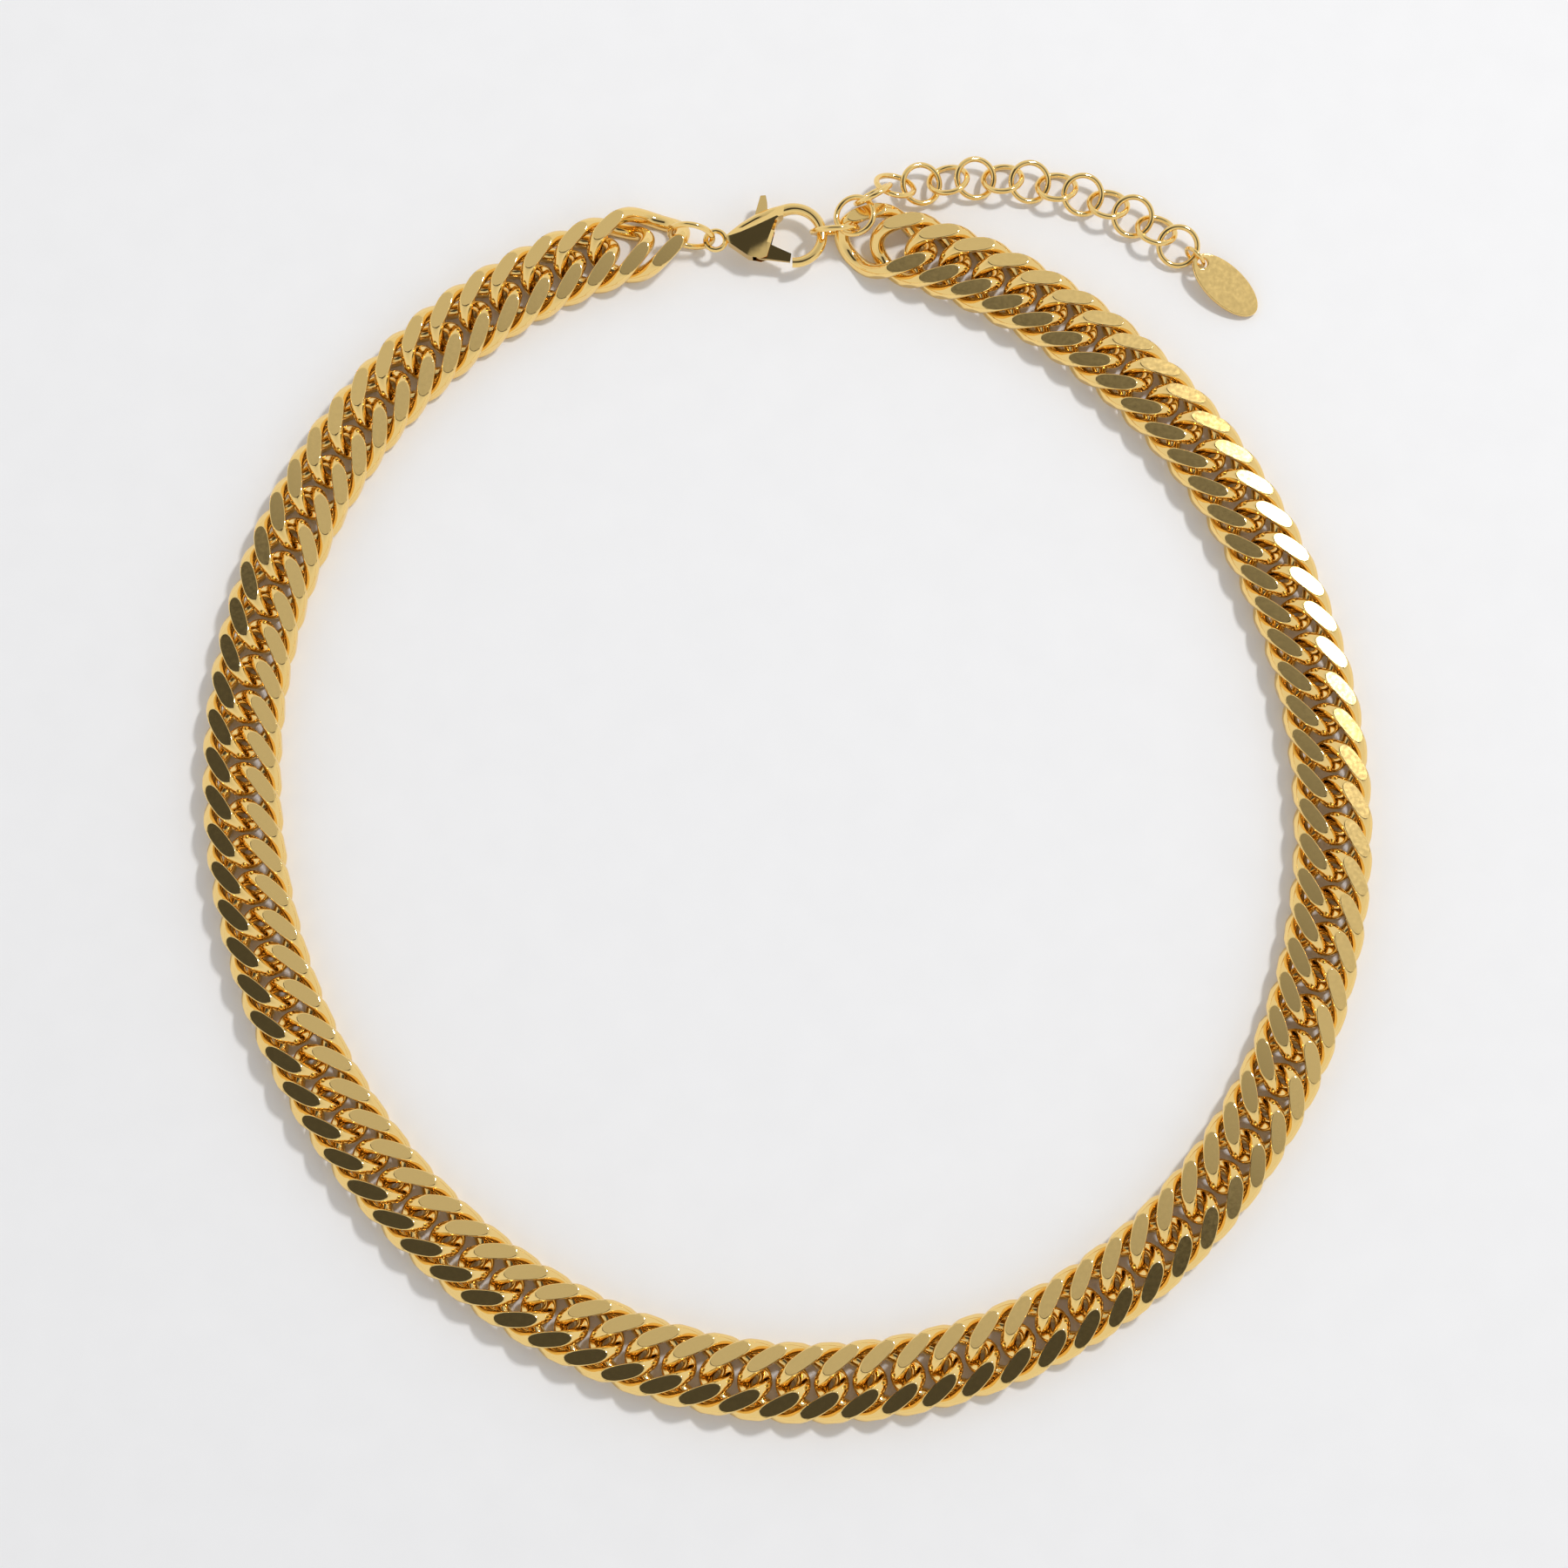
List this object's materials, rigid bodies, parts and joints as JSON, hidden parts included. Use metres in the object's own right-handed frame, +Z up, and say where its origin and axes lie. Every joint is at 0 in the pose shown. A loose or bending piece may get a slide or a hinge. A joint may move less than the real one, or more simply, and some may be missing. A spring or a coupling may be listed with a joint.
{
  "type": "chain necklace",
  "caption": "Double curb chain necklace in a closed loop with a lobster clasp, two connecting rings, a ring-chain extender and an oval tag.",
  "frame": {"origin": "middle of the oval loop, on the plane that the chain lies on", "axes": "+Z up from the plane the chain lies on; +Y towards the clasp; +X towards the extender side, seen from above with the clasp at the top"},
  "size_m": [0.1382, 0.1534, 0.0064],
  "materials": {
    "gold_plate": "polished yellow gold plating over brass",
    "spring_steel": "bright spring steel"
  },
  "bodies": {
    "pair_01": {"link_pair_01": "gold_plate"},
    "pair_02": {"link_pair_02": "gold_plate"},
    "pair_03": {"link_pair_03": "gold_plate"},
    "pair_04": {"link_pair_04": "gold_plate"},
    "pair_05": {"link_pair_05": "gold_plate"},
    "pair_06": {"link_pair_06": "gold_plate"},
    "pair_07": {"link_pair_07": "gold_plate"},
    "pair_08": {"link_pair_08": "gold_plate"},
    "pair_09": {"link_pair_09": "gold_plate"},
    "pair_10": {"link_pair_10": "gold_plate"},
    "pair_11": {"link_pair_11": "gold_plate"},
    "pair_12": {"link_pair_12": "gold_plate"},
    "pair_13": {"link_pair_13": "gold_plate"},
    "pair_14": {"link_pair_14": "gold_plate"},
    "pair_15": {"link_pair_15": "gold_plate"},
    "pair_16": {"link_pair_16": "gold_plate"},
    "pair_17": {"link_pair_17": "gold_plate"},
    "pair_18": {"link_pair_18": "gold_plate"},
    "pair_19": {"link_pair_19": "gold_plate"},
    "pair_20": {"link_pair_20": "gold_plate"},
    "pair_21": {"link_pair_21": "gold_plate"},
    "pair_22": {"link_pair_22": "gold_plate"},
    "pair_23": {"link_pair_23": "gold_plate"},
    "pair_24": {"link_pair_24": "gold_plate"},
    "pair_25": {"link_pair_25": "gold_plate"},
    "pair_26": {"link_pair_26": "gold_plate"},
    "pair_27": {"link_pair_27": "gold_plate"},
    "pair_28": {"link_pair_28": "gold_plate"},
    "pair_29": {"link_pair_29": "gold_plate"},
    "pair_30": {"link_pair_30": "gold_plate"},
    "pair_31": {"link_pair_31": "gold_plate"},
    "pair_32": {"link_pair_32": "gold_plate"},
    "pair_33": {"link_pair_33": "gold_plate"},
    "pair_34": {"link_pair_34": "gold_plate"},
    "pair_35": {"link_pair_35": "gold_plate"},
    "pair_36": {"link_pair_36": "gold_plate"},
    "pair_37": {"link_pair_37": "gold_plate"},
    "pair_38": {"link_pair_38": "gold_plate"},
    "pair_39": {"link_pair_39": "gold_plate"},
    "pair_40": {"link_pair_40": "gold_plate"},
    "pair_41": {"link_pair_41": "gold_plate"},
    "pair_42": {"link_pair_42": "gold_plate"},
    "pair_43": {"link_pair_43": "gold_plate"},
    "pair_44": {"link_pair_44": "gold_plate"},
    "pair_45": {"link_pair_45": "gold_plate"},
    "jump_ring": {"jump_ring": "gold_plate"},
    "connector_ring": {"connector_ring": "gold_plate"},
    "clasp": {"clasp_body": "gold_plate", "clasp_spring": "spring_steel", "clasp_pin": "gold_plate"},
    "lever": {"clasp_lever": "gold_plate"},
    "extender_1": {"extender_1": "gold_plate"},
    "extender_2": {"extender_2": "gold_plate"},
    "extender_3": {"extender_3": "gold_plate"},
    "extender_4": {"extender_4": "gold_plate"},
    "extender_5": {"extender_5": "gold_plate"},
    "extender_6": {"extender_6": "gold_plate"},
    "extender_7": {"extender_7": "gold_plate"},
    "tag_ring": {"tag_ring": "gold_plate"},
    "tag": {"tag": "gold_plate"}
  },
  "joints": [
    {"name": "bend_01", "type": "hinge", "parent": "pair_02", "child": "pair_01", "pos_m": [0.01847, 0.06593, 0.00197], "axis": [0, 0, 1], "range_deg": [-3, 6]},
    {"name": "bend_02", "type": "hinge", "parent": "pair_03", "child": "pair_02", "pos_m": [0.02648, 0.0623, 0.00197], "axis": [0, 0, 1], "range_deg": [-3, 6]},
    {"name": "bend_03", "type": "hinge", "parent": "pair_04", "child": "pair_03", "pos_m": [0.03394, 0.05764, 0.00197], "axis": [0, 0, 1], "range_deg": [-3, 6]},
    {"name": "bend_04", "type": "hinge", "parent": "pair_05", "child": "pair_04", "pos_m": [0.04074, 0.05207, 0.00197], "axis": [0, 0, 1], "range_deg": [-3, 6]},
    {"name": "bend_05", "type": "hinge", "parent": "pair_06", "child": "pair_05", "pos_m": [0.0468, 0.04569, 0.00197], "axis": [0, 0, 1], "range_deg": [-3, 6]},
    {"name": "bend_06", "type": "hinge", "parent": "pair_07", "child": "pair_06", "pos_m": [0.05205, 0.03863, 0.00197], "axis": [0, 0, 1], "range_deg": [-5, 6]},
    {"name": "bend_07", "type": "hinge", "parent": "pair_08", "child": "pair_07", "pos_m": [0.05643, 0.03101, 0.00197], "axis": [0, 0, 1], "range_deg": [-5, 6]},
    {"name": "bend_08", "type": "hinge", "parent": "pair_09", "child": "pair_08", "pos_m": [0.0599, 0.02293, 0.00197], "axis": [0, 0, 1], "range_deg": [-5, 6]},
    {"name": "bend_09", "type": "hinge", "parent": "pair_10", "child": "pair_09", "pos_m": [0.06242, 0.0145, 0.00197], "axis": [0, 0, 1], "range_deg": [-5, 6]},
    {"name": "bend_10", "type": "hinge", "parent": "pair_11", "child": "pair_10", "pos_m": [0.06397, 0.00584, 0.00197], "axis": [0, 0, 1], "range_deg": [-5, 6]},
    {"name": "bend_11", "type": "hinge", "parent": "pair_12", "child": "pair_11", "pos_m": [0.06451, -0.00294, 0.00197], "axis": [0, 0, 1], "range_deg": [-6, 3]},
    {"name": "bend_12", "type": "hinge", "parent": "pair_13", "child": "pair_12", "pos_m": [0.06402, -0.01172, 0.00197], "axis": [0, 0, 1], "range_deg": [-6, 3]},
    {"name": "bend_13", "type": "hinge", "parent": "pair_14", "child": "pair_13", "pos_m": [0.0625, -0.02038, 0.00197], "axis": [0, 0, 1], "range_deg": [-6, 3]},
    {"name": "bend_14", "type": "hinge", "parent": "pair_15", "child": "pair_14", "pos_m": [0.05993, -0.02879, 0.00197], "axis": [0, 0, 1], "range_deg": [-6, 3]},
    {"name": "bend_15", "type": "hinge", "parent": "pair_16", "child": "pair_15", "pos_m": [0.05632, -0.03681, 0.00197], "axis": [0, 0, 1], "range_deg": [-6, 3]},
    {"name": "bend_16", "type": "hinge", "parent": "pair_17", "child": "pair_16", "pos_m": [0.0517, -0.04429, 0.00197], "axis": [0, 0, 1], "range_deg": [-6, 5]},
    {"name": "bend_17", "type": "hinge", "parent": "pair_18", "child": "pair_17", "pos_m": [0.04611, -0.05108, 0.00197], "axis": [0, 0, 1], "range_deg": [-6, 5]},
    {"name": "bend_18", "type": "hinge", "parent": "pair_19", "child": "pair_18", "pos_m": [0.03963, -0.05702, 0.00197], "axis": [0, 0, 1], "range_deg": [-6, 5]},
    {"name": "bend_19", "type": "hinge", "parent": "pair_20", "child": "pair_19", "pos_m": [0.03235, -0.06196, 0.00197], "axis": [0, 0, 1], "range_deg": [-6, 5]},
    {"name": "bend_20", "type": "hinge", "parent": "pair_21", "child": "pair_20", "pos_m": [0.02443, -0.06578, 0.00197], "axis": [0, 0, 1], "range_deg": [-6, 5]},
    {"name": "bend_21", "type": "hinge", "parent": "pair_22", "child": "pair_21", "pos_m": [0.01603, -0.06837, 0.00197], "axis": [0, 0, 1], "range_deg": [-2, 5]},
    {"name": "bend_22", "type": "hinge", "parent": "pair_23", "child": "pair_22", "pos_m": [0.00734, -0.06967, 0.00197], "axis": [0, 0, 1], "range_deg": [-2, 5]},
    {"name": "bend_23", "type": "hinge", "parent": "pair_23", "child": "pair_24", "pos_m": [-0.00145, -0.06967, 0.00197], "axis": [0, 0, 1], "range_deg": [-2.02, 5.02]},
    {"name": "bend_24", "type": "hinge", "parent": "pair_24", "child": "pair_25", "pos_m": [-0.01015, -0.06839, 0.00197], "axis": [0, 0, 1], "range_deg": [-1.99, 4.97]},
    {"name": "bend_25", "type": "hinge", "parent": "pair_25", "child": "pair_26", "pos_m": [-0.01858, -0.06588, 0.00197], "axis": [0, 0, 1], "range_deg": [-6, 3]},
    {"name": "bend_26", "type": "hinge", "parent": "pair_26", "child": "pair_27", "pos_m": [-0.02658, -0.06224, 0.00197], "axis": [0, 0, 1], "range_deg": [-6, 3]},
    {"name": "bend_27", "type": "hinge", "parent": "pair_27", "child": "pair_28", "pos_m": [-0.03404, -0.05757, 0.00197], "axis": [0, 0, 1], "range_deg": [-6, 3]},
    {"name": "bend_28", "type": "hinge", "parent": "pair_28", "child": "pair_29", "pos_m": [-0.04083, -0.05199, 0.00197], "axis": [0, 0, 1], "range_deg": [-6, 3]},
    {"name": "bend_29", "type": "hinge", "parent": "pair_29", "child": "pair_30", "pos_m": [-0.04688, -0.0456, 0.00197], "axis": [0, 0, 1], "range_deg": [-6, 3]},
    {"name": "bend_30", "type": "hinge", "parent": "pair_30", "child": "pair_31", "pos_m": [-0.05211, -0.03853, 0.00197], "axis": [0, 0, 1], "range_deg": [-6, 5]},
    {"name": "bend_31", "type": "hinge", "parent": "pair_31", "child": "pair_32", "pos_m": [-0.05648, -0.0309, 0.00197], "axis": [0, 0, 1], "range_deg": [-6, 5]},
    {"name": "bend_32", "type": "hinge", "parent": "pair_32", "child": "pair_33", "pos_m": [-0.05994, -0.02281, 0.00197], "axis": [0, 0, 1], "range_deg": [-6, 5]},
    {"name": "bend_33", "type": "hinge", "parent": "pair_33", "child": "pair_34", "pos_m": [-0.06245, -0.01438, 0.00197], "axis": [0, 0, 1], "range_deg": [-6, 5]},
    {"name": "bend_34", "type": "hinge", "parent": "pair_34", "child": "pair_35", "pos_m": [-0.06398, -0.00572, 0.00197], "axis": [0, 0, 1], "range_deg": [-6, 5]},
    {"name": "bend_35", "type": "hinge", "parent": "pair_35", "child": "pair_36", "pos_m": [-0.06451, 0.00306, 0.00197], "axis": [0, 0, 1], "range_deg": [-3, 6]},
    {"name": "bend_36", "type": "hinge", "parent": "pair_36", "child": "pair_37", "pos_m": [-0.06401, 0.01184, 0.00197], "axis": [0, 0, 1], "range_deg": [-3, 6]},
    {"name": "bend_37", "type": "hinge", "parent": "pair_37", "child": "pair_38", "pos_m": [-0.06247, 0.0205, 0.00197], "axis": [0, 0, 1], "range_deg": [-3, 6]},
    {"name": "bend_38", "type": "hinge", "parent": "pair_38", "child": "pair_39", "pos_m": [-0.05989, 0.0289, 0.00197], "axis": [0, 0, 1], "range_deg": [-3, 6]},
    {"name": "bend_39", "type": "hinge", "parent": "pair_39", "child": "pair_40", "pos_m": [-0.05627, 0.03692, 0.00197], "axis": [0, 0, 1], "range_deg": [-3, 6]},
    {"name": "bend_40", "type": "hinge", "parent": "pair_40", "child": "pair_41", "pos_m": [-0.05163, 0.04439, 0.00197], "axis": [0, 0, 1], "range_deg": [-5, 6]},
    {"name": "bend_41", "type": "hinge", "parent": "pair_41", "child": "pair_42", "pos_m": [-0.04603, 0.05116, 0.00197], "axis": [0, 0, 1], "range_deg": [-5, 6]},
    {"name": "bend_42", "type": "hinge", "parent": "pair_42", "child": "pair_43", "pos_m": [-0.03953, 0.05709, 0.00197], "axis": [0, 0, 1], "range_deg": [-5, 6]},
    {"name": "bend_43", "type": "hinge", "parent": "pair_43", "child": "pair_44", "pos_m": [-0.03225, 0.06202, 0.00197], "axis": [0, 0, 1], "range_deg": [-5, 6]},
    {"name": "bend_44", "type": "hinge", "parent": "pair_44", "child": "pair_45", "pos_m": [-0.02432, 0.06582, 0.00197], "axis": [0, 0, 1], "range_deg": [-5, 6]},
    {"name": "jump_swing", "type": "hinge", "parent": "pair_45", "child": "jump_ring", "pos_m": [-0.01271, 0.06929, 0.00302], "axis": [0, 0, 1], "range_deg": [-7.65, 3.06]},
    {"name": "clasp_swing", "type": "hinge", "parent": "jump_ring", "child": "clasp", "pos_m": [-0.00865, 0.06796, 0.00263], "axis": [0, 0, 1], "range_deg": [-3.4, 1.36]},
    {"name": "connector_swing", "type": "hinge", "parent": "pair_01", "child": "connector_ring", "pos_m": [0.00682, 0.06928, 0.0026], "axis": [0, 0, 1], "range_deg": [-0.5, 2]},
    {"name": "lever_open", "type": "hinge", "parent": "clasp", "child": "lever", "pos_m": [-0.00328, 0.06875, 0.00263], "axis": [0, 0, 1], "range_deg": [0, 25], "stiffness_Nm_per_rad": 0.001, "springref_deg": -2.86},
    {"name": "extender_swing_1", "type": "hinge", "parent": "connector_ring", "child": "extender_1", "pos_m": [0.00846, 0.06858, 0.00435], "axis": [0, 0, 1], "range_deg": [-1, 4]},
    {"name": "extender_swing_2", "type": "hinge", "parent": "extender_1", "child": "extender_2", "pos_m": [0.01192, 0.07415, 0.00197], "axis": [0, 0, 1], "range_deg": [-1, 12]},
    {"name": "extender_swing_3", "type": "hinge", "parent": "extender_2", "child": "extender_3", "pos_m": [0.01819, 0.07589, 0.00197], "axis": [0, 0, 1], "range_deg": [-1, 20]},
    {"name": "extender_swing_4", "type": "hinge", "parent": "extender_3", "child": "extender_4", "pos_m": [0.02487, 0.07634, 0.00197], "axis": [0, 0, 1], "range_deg": [-1, 20]},
    {"name": "extender_swing_5", "type": "hinge", "parent": "extender_4", "child": "extender_5", "pos_m": [0.03151, 0.07557, 0.00197], "axis": [0, 0, 1], "range_deg": [-1, 20]},
    {"name": "extender_swing_6", "type": "hinge", "parent": "extender_5", "child": "extender_6", "pos_m": [0.0379, 0.07361, 0.00197], "axis": [0, 0, 1], "range_deg": [-1, 20]},
    {"name": "extender_swing_7", "type": "hinge", "parent": "extender_6", "child": "extender_7", "pos_m": [0.04384, 0.07054, 0.00197], "axis": [0, 0, 1], "range_deg": [-1, 20]},
    {"name": "tag_ring_swing", "type": "hinge", "parent": "extender_7", "child": "tag_ring", "pos_m": [0.04961, 0.06641, 0.00195], "axis": [0, 0, 1], "range_deg": [-1, 15]},
    {"name": "tag_swing", "type": "hinge", "parent": "tag_ring", "child": "tag", "pos_m": [0.05069, 0.06511, 0.00195], "axis": [0, 0, 1], "range_deg": [-1, 15]}
  ],
  "couplings": [
    {"joint": "bend_11", "follows": "bend_01", "ratio": -1},
    {"joint": "bend_25", "follows": "bend_01", "ratio": -1},
    {"joint": "bend_35", "follows": "bend_01", "ratio": 1},
    {"joint": "bend_12", "follows": "bend_02", "ratio": -1},
    {"joint": "bend_26", "follows": "bend_02", "ratio": -1},
    {"joint": "bend_36", "follows": "bend_02", "ratio": 1},
    {"joint": "bend_13", "follows": "bend_03", "ratio": -1},
    {"joint": "bend_27", "follows": "bend_03", "ratio": -1},
    {"joint": "bend_37", "follows": "bend_03", "ratio": 1},
    {"joint": "bend_14", "follows": "bend_04", "ratio": -1},
    {"joint": "bend_28", "follows": "bend_04", "ratio": -1},
    {"joint": "bend_38", "follows": "bend_04", "ratio": 1},
    {"joint": "bend_15", "follows": "bend_05", "ratio": -1},
    {"joint": "bend_29", "follows": "bend_05", "ratio": -1},
    {"joint": "bend_39", "follows": "bend_05", "ratio": 1},
    {"joint": "bend_16", "follows": "bend_06", "ratio": -1},
    {"joint": "bend_30", "follows": "bend_06", "ratio": -1},
    {"joint": "bend_40", "follows": "bend_06", "ratio": 1},
    {"joint": "bend_17", "follows": "bend_07", "ratio": -1},
    {"joint": "bend_31", "follows": "bend_07", "ratio": -1},
    {"joint": "bend_41", "follows": "bend_07", "ratio": 1},
    {"joint": "bend_18", "follows": "bend_08", "ratio": -1},
    {"joint": "bend_32", "follows": "bend_08", "ratio": -1},
    {"joint": "bend_42", "follows": "bend_08", "ratio": 1},
    {"joint": "bend_19", "follows": "bend_09", "ratio": -1},
    {"joint": "bend_33", "follows": "bend_09", "ratio": -1},
    {"joint": "bend_43", "follows": "bend_09", "ratio": 1},
    {"joint": "bend_20", "follows": "bend_10", "ratio": -1},
    {"joint": "bend_34", "follows": "bend_10", "ratio": -1},
    {"joint": "bend_44", "follows": "bend_10", "ratio": 1},
    {"joint": "bend_23", "follows": "bend_22", "ratio": 1.0029},
    {"joint": "clasp_swing", "follows": "bend_22", "ratio": -0.6776},
    {"joint": "bend_24", "follows": "bend_21", "ratio": 0.9916},
    {"joint": "jump_swing", "follows": "bend_21", "ratio": -1.5277}
  ]
}
